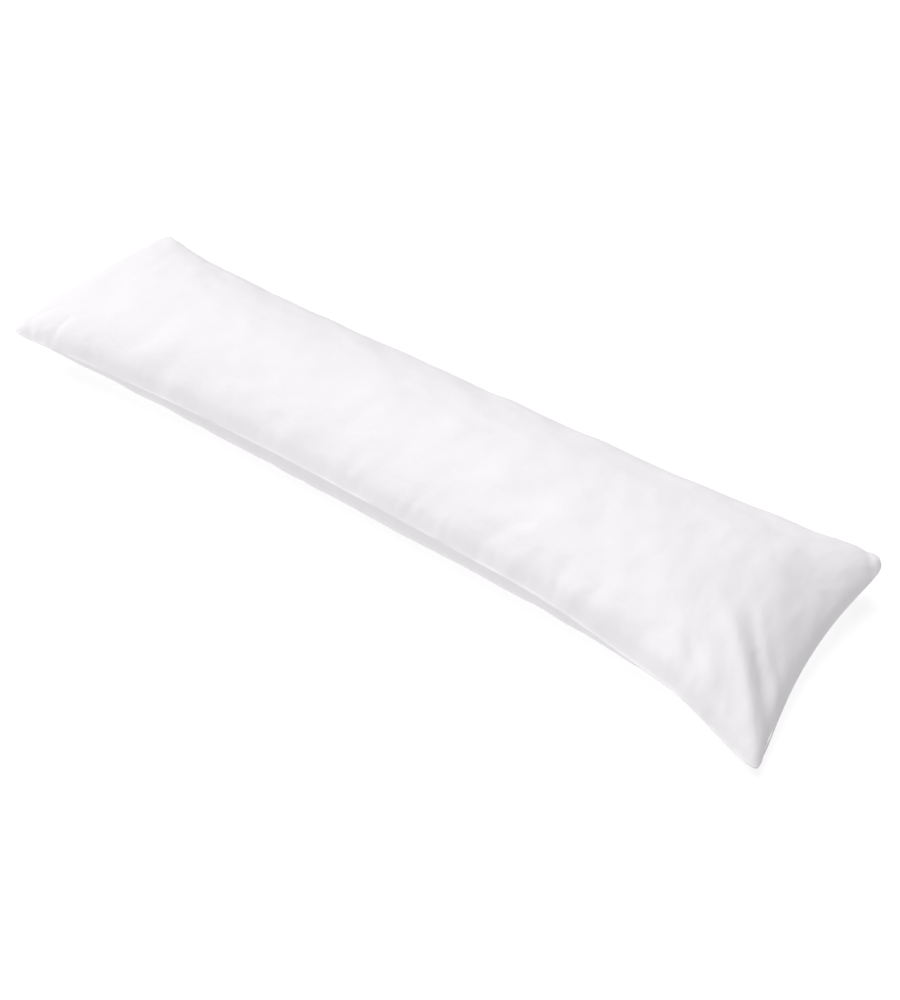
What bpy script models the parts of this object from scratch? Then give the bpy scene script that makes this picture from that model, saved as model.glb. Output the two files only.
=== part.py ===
"""Body pillow: one filled cotton case, lying on its back with its length along X.

Run with: blender --background --python part.py

The case is cut as two plain oblongs, 1450 x 400 mm, sewn together all round and filled. Filling
rounds the two panels apart, so the long sides and the ends are drawn in between four flat corners.
Metres, +Z up. The origin is on the surface that the pillow lies on, under the middle of its box.
"""

import math

import bmesh
import bpy

# Driving sizes, in metres
TIP_LENGTH = 1.400  # from corner to corner along the pillow, before the corners are rounded
TIP_WIDTH = 0.394  # from corner to corner across it, before the corners are rounded
SIDE_DRAW_IN = 0.050  # how far the middle of a long side lies inside its corners
END_DRAW_IN = 0.028  # the same for the middle of an end
THICKNESS = 0.168  # crown above the surface, half way along
SEAM_THICKNESS = 0.004  # turned seam: two layers of cloth and their allowance
CORNER_ROUNDING = 0.007  # how far a corner is taken in where it was turned round
BOW = 0.010  # how far the middle lies towards the front side, at -Y
KEYSTONE = 0.008  # how much further out the back corners lie than the middle of an end

# How the height of the seam above the surface runs along each long side. Along is -1 at the far
# end and +1 at the near end, and front is the side at -Y. The near front corner droops.
SEAM_HEIGHTS = [
    # along, front, back
    (-1.00, 0.076, 0.078),
    (-0.60, 0.079, 0.082),
    (-0.10, 0.084, 0.084),
    (0.45, 0.080, 0.084),
    (0.78, 0.062, 0.081),
    (1.00, 0.024, 0.074),
]

# Shape of the filling
SIDE_SPREAD = 4.4  # power of the curve of a long side: higher keeps it straight for longer
LENGTH_ROUNDNESS = (4.0, 0.46)  # powers of the crown's curve from end to end
WIDTH_ROUNDNESS = (2.2, 0.47)  # powers of the crown's curve from side to side
UNDERSIDE_FULLNESS = 1.30  # above 1, the underside reaches the surface before its middle

CELLS_ALONG = 34  # cells of the coarse cage, before the one level of subdivision
CELLS_ACROSS = 12
COTTON_WHITE = (0.857, 0.846, 0.865, 1.0)


def clear_scene():
    """Removes every object of the startup scene."""
    for item in list(bpy.data.objects):
        bpy.data.objects.remove(item)


def cotton():
    """White woven cotton: matt, not metallic."""
    material = bpy.data.materials.new("white_cotton")
    material.use_nodes = True
    shader = material.node_tree.nodes["Principled BSDF"]
    shader.inputs["Base Color"].default_value = COTTON_WHITE
    shader.inputs["Roughness"].default_value = 0.85
    shader.inputs["Metallic"].default_value = 0.0
    return material


def eased(along, column):
    """A column of SEAM_HEIGHTS at a place along the pillow, eased between its rows."""
    for lower, upper in zip(SEAM_HEIGHTS, SEAM_HEIGHTS[1:]):
        if along <= upper[0]:
            break
    share = (along - lower[0]) / (upper[0] - lower[0])
    share = share * share * (3 - 2 * share)
    return lower[column] + (upper[column] - lower[column]) * share


def seam_height(along, across):
    """Height of the seam's plane above the surface, front and back blended across the pillow."""
    front = eased(along, 1)
    back = eased(along, 2)
    return front + (back - front) * (across + 1) / 2


def roundness(place, powers):
    """1 in the middle and 0 at the seam, with a rounded shoulder between them."""
    return max(0.0, 1 - abs(place) ** powers[0]) ** powers[1]


def plan_point(along, across):
    """Where a point of the flat case comes to in plan, with its sides and ends drawn in."""
    half_length = TIP_LENGTH / 2 - END_DRAW_IN * (1 - across * across)
    half_width = TIP_WIDTH / 2 - SIDE_DRAW_IN * (1 - abs(along) ** SIDE_SPREAD)
    turned = CORNER_ROUNDING * abs(along) ** 40 * abs(across) ** 12
    x = (half_length + KEYSTONE * across) * along - math.copysign(turned, along)
    y = half_width * across - math.copysign(turned, across) - BOW * (1 - along * along)
    return x, y


def panel_height(along, across, is_top):
    """Height of the top panel or of the underside above the surface."""
    seam = seam_height(along, across)
    fill = roundness(along, LENGTH_ROUNDNESS) * roundness(across, WIDTH_ROUNDNESS)
    if is_top:
        return seam + SEAM_THICKNESS / 2 + (THICKNESS - seam) * fill
    lowest = seam - SEAM_THICKNESS / 2 - seam * UNDERSIDE_FULLNESS * fill
    return max(0.0, lowest)


def spaced(place):
    """Draws the cage's lines together towards the seam, where the panels turn fastest."""
    return 0.45 * place + 0.55 * math.sin(place * math.pi / 2)


def panel(cage, is_top):
    """One oblong panel of the case, cut as a grid of the cage and lifted to its filled shape."""
    made = bmesh.ops.create_grid(cage, x_segments=CELLS_ALONG, y_segments=CELLS_ACROSS, size=1)
    for vertex in made["verts"]:
        along, across = spaced(vertex.co.x), spaced(vertex.co.y)
        x, y = plan_point(along, across)
        vertex.co = (x, y, panel_height(along, across, is_top))
    if not is_top:
        faces = {face for vertex in made["verts"] for face in vertex.link_faces}
        bmesh.ops.reverse_faces(cage, faces=list(faces))


def filled_case(collection, material):
    """Both panels, joined all round by the turned seam, as one closed and subdivided solid.

    The eight corner points are creased, so that subdivision doesn't draw the tips in.
    """
    cage = bmesh.new()
    panel(cage, is_top=True)
    panel(cage, is_top=False)
    crease = cage.verts.layers.float.new("crease_vert")
    for vertex in cage.verts:
        vertex[crease] = 1.0 if len(vertex.link_edges) == 2 else 0.0
    rims = [edge for edge in cage.edges if edge.is_boundary]
    bmesh.ops.bridge_loops(cage, edges=rims)
    bmesh.ops.recalc_face_normals(cage, faces=cage.faces)
    mesh = bpy.data.meshes.new("pillow")
    cage.to_mesh(mesh)
    cage.free()
    mesh.materials.append(material)
    mesh.shade_smooth()
    pillow = bpy.data.objects.new("pillow", mesh)
    collection.objects.link(pillow)
    smooth = pillow.modifiers.new("Subdivision", "SUBSURF")
    smooth.levels = 1
    smooth.render_levels = 1
    return pillow


def main():
    clear_scene()
    collection = bpy.data.collections.new("body_pillow")
    bpy.context.scene.collection.children.link(collection)
    filled_case(collection, cotton())


main()
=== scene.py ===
"""Body pillow: one long filled cotton case, lying on its back with its length along X.

Metres, +Z up. The origin is on the surface that the pillow lies on, under the middle of its box.
"""

import math

import bmesh
import bpy
import numpy as np
from mathutils import Matrix, Vector


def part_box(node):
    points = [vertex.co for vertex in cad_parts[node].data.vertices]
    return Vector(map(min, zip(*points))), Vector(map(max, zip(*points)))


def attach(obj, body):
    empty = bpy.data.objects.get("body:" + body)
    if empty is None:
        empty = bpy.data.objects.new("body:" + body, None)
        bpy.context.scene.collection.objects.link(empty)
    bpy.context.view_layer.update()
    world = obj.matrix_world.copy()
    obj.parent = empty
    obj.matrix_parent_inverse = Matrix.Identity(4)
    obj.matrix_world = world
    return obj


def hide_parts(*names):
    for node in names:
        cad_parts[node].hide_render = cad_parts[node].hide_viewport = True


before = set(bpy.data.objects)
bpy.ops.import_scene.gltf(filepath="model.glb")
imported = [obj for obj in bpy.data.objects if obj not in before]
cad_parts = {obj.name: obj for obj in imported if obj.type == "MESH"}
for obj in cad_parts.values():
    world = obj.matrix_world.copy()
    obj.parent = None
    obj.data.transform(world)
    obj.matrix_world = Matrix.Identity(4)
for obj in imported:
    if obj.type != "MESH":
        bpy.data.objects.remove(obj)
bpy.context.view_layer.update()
scene = bpy.context.scene

# ---------------------------------------------------------------------------------------------
# Filled case: two oblong panels of white woven cotton, sewn together all round, turned and stuffed
# with loose fibre. The filling rounds the panels apart, which draws the long sides and the ends in
# between four flat corners and gathers the cloth beside the seam.
# ---------------------------------------------------------------------------------------------
low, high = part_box("pillow")
crown_height = high.z

# Plan of the filled case. Along runs from -1 at the far end to 1 at the near end, and across from
# -1 at the front side to 1 at the back one. Front is -Y and far is -X.
CORNER_ALLOWANCE_ALONG = 0.008  # rounding takes the corners in again by about this much
CORNER_ALLOWANCE_ACROSS = 0.013
SEAM_EDGE = 0.0022  # width of the turned edge that stands out from the seam
SEAM_EDGE_AT_ENDS = 0.0016
half_length_at_tip = (high.x - low.x) / 2 + CORNER_ALLOWANCE_ALONG - SEAM_EDGE_AT_ENDS
half_width_at_tip = (high.y - low.y) / 2 + CORNER_ALLOWANCE_ACROSS - SEAM_EDGE
SIDE_DRAW_IN = 0.057
FRONT_SPREAD, BACK_SPREAD = 3.3, 5.2  # powers of the long sides' curves
FAR_END_DRAW_IN, NEAR_END_DRAW_IN = 0.012, 0.028
FAR_KEYSTONE, NEAR_KEYSTONE = 0.005, 0.0135  # half of how much further out the back corners lie
NEAR_END_REACH = 0.006  # how much further out the near end lies than the far one
FAR_FRONT_TAPER = 0.010  # how much the front corner of the far end is pulled towards the back
TAPER_SPREAD = 7  # power: a higher one keeps the taper nearer that corner
BOW = 0.010  # how far the middle lies towards the front
FAR_FRONT_ROUNDING, FAR_BACK_ROUNDING = 0.010, 0.012
NEAR_FRONT_ROUNDING, NEAR_BACK_ROUNDING = 0.010, 0.022
ROUNDING_SPREAD_ALONG, ROUNDING_SPREAD_ACROSS = 26, 8  # powers

# Heights of the seam above the surface, and how the filling rounds the panels away from it.
SEAM_HEIGHTS = np.array([
    # along, front, back
    (-1.00, 0.084, 0.078),
    (-0.60, 0.079, 0.082),
    (-0.10, 0.084, 0.084),
    (0.45, 0.080, 0.084),
    (0.78, 0.062, 0.081),
    (1.00, 0.024, 0.076),
])
SEAM_GAP = 0.0016  # between the two layers at the seam
SEAM_EDGE_GAP = 0.0022  # between them in the turned edge
SEAM_EDGE_DROOP = 0.0024
FAR_LENGTH_ROUNDNESS, NEAR_LENGTH_ROUNDNESS = (4.0, 0.46), (3.3, 0.50)
UNDERSIDE_LENGTH_ROUNDNESS = (3.2, 0.8)
WIDTH_ROUNDNESS = (2.2, 0.47)
UNDERSIDE_FULLNESS = 1.30  # over 1, the underside flattens on the surface
SWELL_ALLOWANCE = 0.004  # the swelling raises the crown by about this much

# The two panels as they are cut, and the grid of points on each.
CUT_LENGTH = 1.462
CUT_WIDTH_AT_ENDS, CUT_WIDTH_MIDDLE = 0.404, 0.386
CELLS_ALONG, CELLS_ACROSS = 190, 52
SEAM_EDGE_CELLS = 2
EVEN_SPACING = 0.65  # share of even spacing; the rest crowds the points towards the seam


def eased(place, column):
    """A column of SEAM_HEIGHTS at places along the pillow, eased between its rows."""
    knots = SEAM_HEIGHTS[:, 0]
    row = np.clip(np.searchsorted(knots, place) - 1, 0, len(knots) - 2)
    share = (place - knots[row]) / (knots[row + 1] - knots[row])
    share = share * share * (3 - 2 * share)
    heights = SEAM_HEIGHTS[:, column]
    return heights[row] + (heights[row + 1] - heights[row]) * share


def roundness(place, powers):
    """1 in the middle, falling to 0 at the seam, as a pair of powers says."""
    return np.clip(1 - np.abs(place) ** powers[0], 0, 1) ** powers[1]


def filled_plan(along, across, edge_along, edge_across):
    """X and Y of the points of the case when it is filled."""
    far, front = along < 0, across < 0
    draw_in = np.where(far, FAR_END_DRAW_IN, NEAR_END_DRAW_IN)
    half_length = half_length_at_tip - draw_in * (1 - across**2) + NEAR_END_REACH * ~far
    spread = np.where(front, FRONT_SPREAD, BACK_SPREAD)
    half_width = half_width_at_tip - SIDE_DRAW_IN * (1 - np.abs(along) ** spread)
    taper = np.clip(-along, 0, 1) ** TAPER_SPREAD * np.clip(-across, 0, 1)
    half_width = half_width - FAR_FRONT_TAPER * taper
    rounding = np.where(
        far,
        np.where(front, FAR_FRONT_ROUNDING, FAR_BACK_ROUNDING),
        np.where(front, NEAR_FRONT_ROUNDING, NEAR_BACK_ROUNDING),
    )
    turned = (
        rounding
        * np.abs(along) ** ROUNDING_SPREAD_ALONG
        * np.abs(across) ** ROUNDING_SPREAD_ACROSS
    )
    keystone = np.where(far, FAR_KEYSTONE, NEAR_KEYSTONE)
    outward = 1 / np.maximum(1, np.hypot(edge_along, edge_across))
    x = (half_length + keystone * (across - 1)) * along - np.sign(along) * turned
    x += edge_along * outward * SEAM_EDGE_AT_ENDS
    y = half_width * across - np.sign(across) * turned - BOW * (1 - along**2)
    y += edge_across * outward * SEAM_EDGE
    return x, y


def filled_shape(along, across, side, edge_along, edge_across):
    """Where the points of the case come to when it is filled. Side is 1 on top and -1 below."""
    x, y = filled_plan(along, across, edge_along, edge_across)
    front, back = eased(along, 1), eased(along, 2)
    seam = front + (back - front) * (across + 1) / 2
    out = np.maximum(np.abs(edge_along), np.abs(edge_across))
    edge_bulge = (1 - np.abs(2 * out - 1) ** 2) * (out > 0)
    half_gap = (SEAM_GAP + (SEAM_EDGE_GAP - SEAM_GAP) * edge_bulge) / 2
    seam = seam - SEAM_EDGE_DROOP * out
    lengthwise = np.where(
        along < 0, roundness(along, FAR_LENGTH_ROUNDNESS), roundness(along, NEAR_LENGTH_ROUNDNESS)
    )
    fill = lengthwise * roundness(across, WIDTH_ROUNDNESS)
    top = seam + half_gap + (crown_height - seam - SWELL_ALLOWANCE) * fill
    press = roundness(along, UNDERSIDE_LENGTH_ROUNDNESS) * roundness(across, WIDTH_ROUNDNESS)
    under = np.maximum(0, seam - half_gap - seam * UNDERSIDE_FULLNESS * press)
    return np.stack([x, y, np.where(side > 0, top, under)], 1)


def cut_shape(along, across, side, edge_along, edge_across):
    """The same points on the two cut panels, laid flat on each other."""
    width = CUT_WIDTH_MIDDLE + (CUT_WIDTH_AT_ENDS - CUT_WIDTH_MIDDLE) * np.abs(along) ** 3
    x = along * CUT_LENGTH / 2 + edge_along * SEAM_EDGE
    y = across * width / 2 + edge_across * SEAM_EDGE
    return np.stack([x, y, side * SEAM_GAP / 2], 1)


panels = bmesh.new()
weave_map = panels.loops.layers.uv.new("weave")
for side_made in (1, -1):
    made = bmesh.ops.create_grid(
        panels,
        x_segments=CELLS_ALONG + 2 * SEAM_EDGE_CELLS,
        y_segments=CELLS_ACROSS + 2 * SEAM_EDGE_CELLS,
        size=1,
    )
    for vertex in made["verts"]:
        vertex.co.z = side_made
    if side_made < 0:
        faces = {face for vertex in made["verts"] for face in vertex.link_faces}
        bmesh.ops.reverse_faces(panels, faces=list(faces))
for face in panels.faces:
    for loop in face.loops:
        place = loop.vert.co
        loop[weave_map].uv = (place.x * CUT_LENGTH / 2, place.y * CUT_WIDTH_AT_ENDS / 2)
rims = [edge for edge in panels.edges if edge.is_boundary]
bmesh.ops.bridge_loops(panels, edges=rims)
bmesh.ops.recalc_face_normals(panels, faces=panels.faces)
coarse = bpy.data.meshes.new("pillow_case_coarse")
panels.to_mesh(coarse)
panels.free()
case = bpy.data.objects.new("pillow_case", coarse)
scene.collection.objects.link(case)


def column_of(store, name, count):
    """One vector for each of a mesh's points, as rows of an array."""
    values = np.zeros(count * 3)
    store.foreach_get(name, values)
    return values.reshape(-1, 3)


def panel_and_edge(place, cells):
    """Splits a place on the grid into a place on the panel and one on the turned edge."""
    line = place * (cells / 2 + SEAM_EDGE_CELLS)
    on_panel = np.clip(line / (cells / 2), -1, 1)
    on_edge = (line - on_panel * cells / 2) / SEAM_EDGE_CELLS
    drawn = EVEN_SPACING * on_panel + (1 - EVEN_SPACING) * np.sin(on_panel * math.pi / 2)
    return drawn, on_edge


grid = column_of(coarse.vertices, "co", len(coarse.vertices))
along, edge_along = panel_and_edge(grid[:, 0], CELLS_ALONG)
across, edge_across = panel_and_edge(grid[:, 1], CELLS_ACROSS)
side = grid[:, 2]
filled = filled_shape(along, across, side, edge_along, edge_across)
flat = cut_shape(along, across, side, edge_along, edge_across)
AT_SEAM = 0.9999  # along or across, from here out
ON_SURFACE = 0.0003  # up to this height a point rests, and stays where it is
on_seam = (np.abs(along) > AT_SEAM) | (np.abs(across) > AT_SEAM)
on_surface = filled[:, 2] < ON_SURFACE

# The filling is a little lumpy.
LUMP = 0.055  # spacing
UNEVENNESS = 0.0016  # height
lumps_along, lumps_across = round(CUT_LENGTH / LUMP), round(CUT_WIDTH_AT_ENDS / LUMP)
luck = np.random.default_rng(7)


def lumpy(side_seen):
    """Soft unevenness of the filling under one panel, between about -1 and 1."""
    heights = luck.normal(0, 1, (lumps_along + 1, lumps_across + 1))
    u = np.clip((along + 1) / 2 * lumps_along, 0, lumps_along - 0.001)
    v = np.clip((across + 1) / 2 * lumps_across, 0, lumps_across - 0.001)
    i, j = u.astype(int), v.astype(int)
    fu, fv = u - i, v - j
    fu, fv = fu * fu * (3 - 2 * fu), fv * fv * (3 - 2 * fv)
    near = heights[i, j] * (1 - fu) + heights[i + 1, j] * fu
    far = heights[i, j + 1] * (1 - fu) + heights[i + 1, j + 1] * fu
    return (near * (1 - fv) + far * fv) * (side == side_seen)


start = filled.copy()
start[:, 2] += UNEVENNESS * (lumpy(1) + lumpy(-1)) * (~on_seam & ~on_surface)
coarse.vertices.foreach_set("co", start.ravel())

# The filling's push on the cloth.
SWELL_STEPS = 24
SWELL_PRESSURE = 4
CLOTH_MASS = 0.15
CLOTH_BENDING = 1.0
CLOTH_STRETCH = 40
SEAM_HOLD = 0.9
SWELL_CAP = 0.016  # furthest that a point may move


def swollen_shape():
    """The case after its filling has pressed on cloth that is cut flat and held at the seam."""
    case.shape_key_add(name="Basis")
    cut = case.shape_key_add(name="cut")
    cut.data.foreach_set("co", flat.ravel())
    held = case.vertex_groups.new(name="held")
    held.add([int(v) for v in np.nonzero(on_seam)[0]], SEAM_HOLD, "REPLACE")
    held.add([int(v) for v in np.nonzero(on_surface)[0]], 1.0, "REPLACE")
    swell = case.modifiers.new("Swell", "CLOTH")
    settings = swell.settings
    settings.quality = 6
    settings.mass = CLOTH_MASS
    settings.tension_stiffness = CLOTH_STRETCH
    settings.compression_stiffness = CLOTH_STRETCH
    settings.shear_stiffness = CLOTH_STRETCH / 3
    settings.bending_stiffness = CLOTH_BENDING
    settings.use_pressure = True
    settings.uniform_pressure_force = SWELL_PRESSURE
    settings.vertex_group_mass = "held"
    settings.rest_shape_key = cut
    settings.effector_weights.gravity = 0
    swell.point_cache.frame_end = SWELL_STEPS + 2
    for step in range(1, SWELL_STEPS + 1):
        scene.frame_set(step)
    seen = case.evaluated_get(bpy.context.evaluated_depsgraph_get())
    swollen = column_of(seen.data.vertices, "co", len(coarse.vertices))
    scene.frame_set(1)
    case.modifiers.remove(swell)
    case.shape_key_clear()
    moved = swollen - filled
    reach = np.linalg.norm(moved, axis=1, keepdims=True)
    return filled + moved * np.minimum(1, SWELL_CAP / np.maximum(reach, 1e-9))


swollen = swollen_shape()
swollen[:, 2] = np.maximum(swollen[:, 2], 0)
coarse.vertices.foreach_set("co", swollen.ravel())

# Each point keeps its place on the cut panels, so folds and gathers are set out as on flat cloth.
place_on_cut = coarse.attributes.new("cut", "FLOAT_VECTOR", "POINT")
place_on_cut.data.foreach_set("vector", np.stack([flat[:, 0], flat[:, 1], side], 1).ravel())
smooth = case.modifiers.new("Subdivision", "SUBSURF")
smooth.levels = 1
smooth.render_levels = 1
fine = bpy.data.meshes.new_from_object(case.evaluated_get(bpy.context.evaluated_depsgraph_get()))
fine.name = "pillow_case"
case.modifiers.remove(smooth)
case.data = fine
bpy.data.meshes.remove(coarse)
count = len(fine.vertices)
points = column_of(fine.vertices, "co", count)
normals = column_of(fine.vertices, "normal", count)
cut_at = column_of(fine.attributes["cut"].data, "vector", count)
lift = np.zeros(count)


def fold(panel, start, end, width, height, roundness_of_crest=2.0):
    """Height added to every point of one panel by a fold from start to end on the cut cloth.

    It dies out towards both ends and to each side, faster for a lower roundness of its crest.
    """
    start, end = np.array(start, float), np.array(end, float)
    run = end - start
    length = np.linalg.norm(run)
    offset = cut_at[:, :2] - start
    on = offset @ run / length**2
    off_line = np.abs(offset @ np.array([-run[1], run[0]])) / length / width
    ends = np.clip(on * (1 - on) * 4, 0, 1) ** 0.8
    on_panel = cut_at[:, 2] * panel > 0.2
    profile = (1 - 0.4 * off_line**2) * np.exp(-(off_line**roundness_of_crest))
    return height * ends * profile * on_panel


# Folds that stand alone: ridges have a height over 0 and dents one under 0. U runs along the cut
# panel and v across it, from its middle. The panel is 1 for the top and -1 for the underside.
FOLDS = [
    # panel, u0, v0, u1, v1, width, height, roundness
    (1, 0.758, -0.234, 0.606, -0.068, 0.019, 0.0050, 1.7),
    (1, 0.764, -0.190, 0.625, -0.040, 0.018, -0.0040, 2.0),
    (1, 0.700, -0.112, 0.645, -0.034, 0.011, 0.0013, 2.0),
    (1, 0.750, -0.115, 0.680, -0.055, 0.015, -0.0018, 2.0),
    (1, 0.680, 0.210, 0.740, 0.140, 0.010, -0.0022, 2.0),
    (1, 0.700, 0.145, 0.590, 0.095, 0.018, -0.0018, 2.0),
    (1, 0.690, 0.185, 0.560, 0.150, 0.016, 0.0014, 2.0),
    (1, 0.735, 0.060, 0.650, 0.040, 0.018, -0.0014, 2.0),
    (1, -0.672, -0.210, -0.728, -0.145, 0.009, -0.0022, 2.0),
    (1, -0.640, -0.210, -0.622, -0.140, 0.009, -0.0018, 2.0),
    (1, -0.690, -0.175, -0.600, -0.120, 0.014, 0.0012, 2.0),
    (1, -0.675, 0.210, -0.735, 0.145, 0.010, -0.0016, 2.0),
    (1, -0.520, -0.200, -0.430, -0.130, 0.018, -0.0014, 2.0),
    (1, -0.400, -0.198, -0.365, -0.150, 0.014, -0.0009, 2.0),
    (1, -0.185, -0.200, -0.110, -0.140, 0.018, -0.0013, 2.0),
    (1, -0.010, -0.200, 0.032, -0.130, 0.015, -0.0012, 2.0),
    (1, 0.120, -0.195, 0.150, -0.145, 0.014, -0.0008, 2.0),
    (1, 0.235, -0.205, 0.325, -0.112, 0.014, -0.0016, 2.0),
    (1, 0.295, -0.200, 0.345, -0.150, 0.011, 0.0008, 2.0),
    (1, 0.375, -0.200, 0.395, -0.140, 0.014, -0.0012, 2.0),
    (1, 0.402, -0.198, 0.425, -0.165, 0.008, 0.0009, 2.0),
    (1, 0.428, -0.200, 0.455, -0.140, 0.012, -0.0011, 2.0),
    (1, 0.520, -0.200, 0.555, -0.130, 0.016, -0.0010, 2.0),
    (1, 0.590, -0.205, 0.606, -0.130, 0.014, -0.0014, 2.0),
    (1, 0.655, -0.205, 0.640, -0.140, 0.014, -0.0010, 2.0),
    (1, 0.150, -0.020, 0.420, 0.050, 0.050, 0.0016, 2.0),
    (1, -0.420, 0.020, -0.120, -0.040, 0.050, 0.0014, 2.0),
    (1, 0.480, 0.110, 0.300, 0.060, 0.030, -0.0012, 2.0),
]
for panel, u0, v0, u1, v1, width, height, crest in FOLDS:
    lift += fold(panel, (u0, v0), (u1, v1), width, height, crest)

# Gathers beside the seam, large and small ones along the sides and a few at the ends.
SIDE_GATHERS = [
    # number, shortest, longest, width, height
    (17, 0.045, 0.095, 0.018, 0.0012),
    (64, 0.010, 0.026, 0.005, 0.0006),
]
BACK_GATHER_SHARE = 0.5  # the back side is tauter, so its gathers are lower
SIDE_GATHERED, END_GATHERED = 0.98, 0.9  # share of a side's and of an end's length
END_GATHERS = 7
END_GATHER_WIDTH = 0.010
SIDE_SEAM_AT = CUT_WIDTH_MIDDLE / 2 + 0.003
END_SEAM_AT = CUT_LENGTH / 2 + 0.002
for panel in (1, -1):
    for edge in (-1, 1):
        share = 1.0 if edge < 0 else BACK_GATHER_SHARE
        for number, shortest, longest, width, height in SIDE_GATHERS:
            for k in range(number):
                u = ((k + luck.uniform(0.1, 0.9)) / number - 0.5) * CUT_LENGTH * SIDE_GATHERED
                v = edge * SIDE_SEAM_AT
                reach = luck.uniform(shortest, longest)
                slant = luck.uniform(-0.4, 0.9) * reach
                tall = height * luck.uniform(-1.2, 0.8) * share
                wide = width * luck.uniform(0.7, 1.3)
                lift += fold(panel, (u, v), (u + slant, v - edge * reach), wide, tall)
        for k in range(END_GATHERS):
            u = edge * END_SEAM_AT
            place = (k + luck.uniform(0.2, 0.8)) / END_GATHERS - 0.5
            v = place * CUT_WIDTH_AT_ENDS * END_GATHERED
            reach = luck.uniform(0.025, 0.060)
            slant = luck.uniform(-0.5, 0.5) * reach
            tall = luck.uniform(-0.0012, 0.0008)
            lift += fold(panel, (u, v), (u - edge * reach, v + slant), END_GATHER_WIDTH, tall)

resting = points[:, 2] < ON_SURFACE + 0.0001
points = points + normals * (lift * ~resting)[:, None]
points[:, 2] = np.maximum(points[:, 2], 0)
fine.vertices.foreach_set("co", points.ravel())
fine.shade_smooth()

# White cotton in plain weave, with slubs in its threads, crumpled a little by the filling.
DARKEST_THREAD = (0.840, 0.818, 0.844, 1)
LIGHTEST_THREAD = (0.874, 0.852, 0.878, 1)
cotton = bpy.data.materials.new("white_cotton")
cotton.use_nodes = True
nodes, links = cotton.node_tree.nodes, cotton.node_tree.links
shader = nodes["Principled BSDF"]
shader.inputs["Sheen Weight"].default_value = 0.06
shader.inputs["Sheen Roughness"].default_value = 0.45
shader.inputs["Specular IOR Level"].default_value = 0.35
on_cloth = nodes.new("ShaderNodeUVMap")
on_cloth.uv_map = "weave"
in_millimetres = nodes.new("ShaderNodeMapping")
in_millimetres.inputs["Scale"].default_value = (1000, 1000, 1000)
links.new(on_cloth.outputs["UV"], in_millimetres.inputs["Vector"])


def threads(direction):
    """Ridges of one set of threads, half a millimetre apart."""
    wave = nodes.new("ShaderNodeTexWave")
    wave.bands_direction = direction
    wave.inputs["Scale"].default_value = 0.63
    wave.inputs["Distortion"].default_value = 0.6
    wave.inputs["Detail"].default_value = 1.0
    wave.inputs["Detail Scale"].default_value = 0.4
    links.new(in_millimetres.outputs["Vector"], wave.inputs["Vector"])
    return wave.outputs["Fac"]


def patches(scale, detail):
    """Soft patches, from 0 to 1, so many to the millimetre."""
    noise = nodes.new("ShaderNodeTexNoise")
    noise.inputs["Scale"].default_value = scale
    noise.inputs["Detail"].default_value = detail
    links.new(in_millimetres.outputs["Vector"], noise.inputs["Vector"])
    return noise.outputs["Fac"]


def combined(kind, first, second):
    """Two heights put together by a kind of sum."""
    sum_of_two = nodes.new("ShaderNodeMath")
    sum_of_two.operation = kind
    links.new(first, sum_of_two.inputs[0])
    links.new(second, sum_of_two.inputs[1])
    return sum_of_two.outputs[0]


def raised(height, strength, distance, below=None):
    """The cloth's surface with a height added on top of what is below."""
    bump = nodes.new("ShaderNodeBump")
    bump.inputs["Strength"].default_value = strength
    bump.inputs["Distance"].default_value = distance
    links.new(height, bump.inputs["Height"])
    if below:
        links.new(below, bump.inputs["Normal"])
    return bump.outputs["Normal"]


weave = combined("MAXIMUM", threads("X"), threads("Y"))
slubs = patches(scale=0.35, detail=3.0)
crumple = patches(scale=0.036, detail=2.0)
soft_dents = patches(scale=0.014, detail=1.0)
uneven_weave = combined("MULTIPLY", weave, slubs)
surface = raised(soft_dents, strength=0.6, distance=0.010)
surface = raised(crumple, strength=0.45, distance=0.0030, below=surface)
surface = raised(uneven_weave, strength=0.35, distance=0.00012, below=surface)
links.new(surface, shader.inputs["Normal"])
tone = nodes.new("ShaderNodeMix")
tone.data_type = "RGBA"
tone.inputs["A"].default_value = DARKEST_THREAD
tone.inputs["B"].default_value = LIGHTEST_THREAD
links.new(uneven_weave, tone.inputs["Factor"])
links.new(tone.outputs["Result"], shader.inputs["Base Color"])
dullness = nodes.new("ShaderNodeMapRange")
dullness.inputs["To Min"].default_value = 0.78
dullness.inputs["To Max"].default_value = 0.90
links.new(slubs, dullness.inputs["Value"])
links.new(dullness.outputs["Result"], shader.inputs["Roughness"])
fine.materials.append(cotton)

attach(case, "root")
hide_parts("pillow")

# ---------------------------------------------------------------------------------------------
# Floor: a wide sheet of white backdrop paper that the pillow lies on. It glows a little, so that
# the pillow's shadow stays faint.
# ---------------------------------------------------------------------------------------------
FLOOR_HALF_SIDE = 30
sheet = bmesh.new()
bmesh.ops.create_grid(sheet, x_segments=1, y_segments=1, size=FLOOR_HALF_SIDE)
floor_mesh = bpy.data.meshes.new("floor")
sheet.to_mesh(floor_mesh)
sheet.free()
floor = bpy.data.objects.new("floor", floor_mesh)
scene.collection.objects.link(floor)
paper = bpy.data.materials.new("floor_paper")
paper.use_nodes = True
paper_shader = paper.node_tree.nodes["Principled BSDF"]
paper_shader.inputs["Base Color"].default_value = (0.28, 0.28, 0.28, 1)
paper_shader.inputs["Emission Color"].default_value = (1, 1, 1, 1)
paper_shader.inputs["Emission Strength"].default_value = 0.78
paper_shader.inputs["Roughness"].default_value = 0.9
floor_mesh.materials.append(paper)

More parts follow.
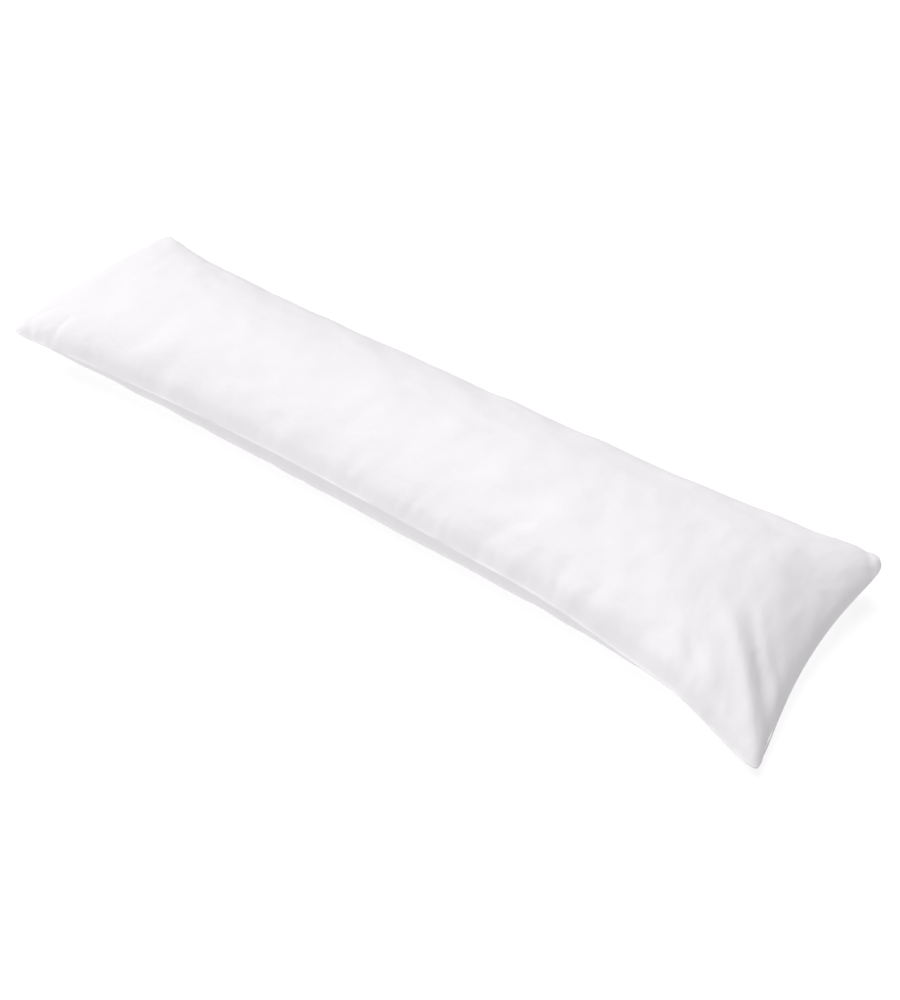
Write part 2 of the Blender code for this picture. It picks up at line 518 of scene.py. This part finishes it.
# ---------------------------------------------------------------------------------------------
# Studio light: an even white room, a wide soft light above that leans to the far end, and a weak
# one low at the front for the cloth under the seam.
# ---------------------------------------------------------------------------------------------
world = bpy.data.worlds.new("studio")
world.use_nodes = True
world.node_tree.nodes["Background"].inputs["Color"].default_value = (1, 1, 1, 1)
world.node_tree.nodes["Background"].inputs["Strength"].default_value = 0.30
scene.world = world
STUDIO_LIGHTS = [
    # name, direction it comes from, spread in degrees, energy
    ("key", (-0.38, -0.09, 0.92), 40, 2.66),
    ("front_fill", (-0.30, -0.95, 0.06), 50, 0.24),
]
LIGHT_DISTANCE = 5.0
for name, comes_from, spread, energy in STUDIO_LIGHTS:
    towards_light = Vector(comes_from).normalized()
    light_data = bpy.data.lights.new(name, "SUN")
    light_data.angle = math.radians(spread)
    light_data.energy = energy
    light = bpy.data.objects.new(name, light_data)
    light.location = towards_light * LIGHT_DISTANCE
    light.rotation_mode = "QUATERNION"
    light.rotation_quaternion = towards_light.to_track_quat("Z", "Y")
    scene.collection.objects.link(light)

# ---------------------------------------------------------------------------------------------
# Camera: close above the front side, round towards the near end, looking down at the pillow.
# ---------------------------------------------------------------------------------------------
AZIMUTH, ELEVATION, ROLL = (math.radians(angle) for angle in (33.33, 45.07, 1.89))
AIM = Vector((0.1299, -0.0633, 0.06))
DISTANCE = 1.5489
SENSOR = 36
FOCAL_SHARE = 1.0459  # focal length over the sensor's width
level_right = Vector((math.cos(AZIMUTH), math.sin(AZIMUTH), 0))
back = Vector((
    math.sin(AZIMUTH) * math.cos(ELEVATION),
    -math.cos(AZIMUTH) * math.cos(ELEVATION),
    math.sin(ELEVATION),
))
level_up = back.cross(level_right)
right = level_right * math.cos(ROLL) + level_up * math.sin(ROLL)
up = -level_right * math.sin(ROLL) + level_up * math.cos(ROLL)
camera_data = bpy.data.cameras.new("camera")
camera_data.lens = SENSOR * FOCAL_SHARE
camera_data.clip_end = 200
camera = bpy.data.objects.new("camera", camera_data)
camera.location = AIM + back * DISTANCE
camera.rotation_mode = "QUATERNION"
camera.rotation_quaternion = Matrix((right, up, back)).transposed().to_quaternion()
scene.collection.objects.link(camera)
scene.camera = camera
scene.view_settings.view_transform = "Standard"
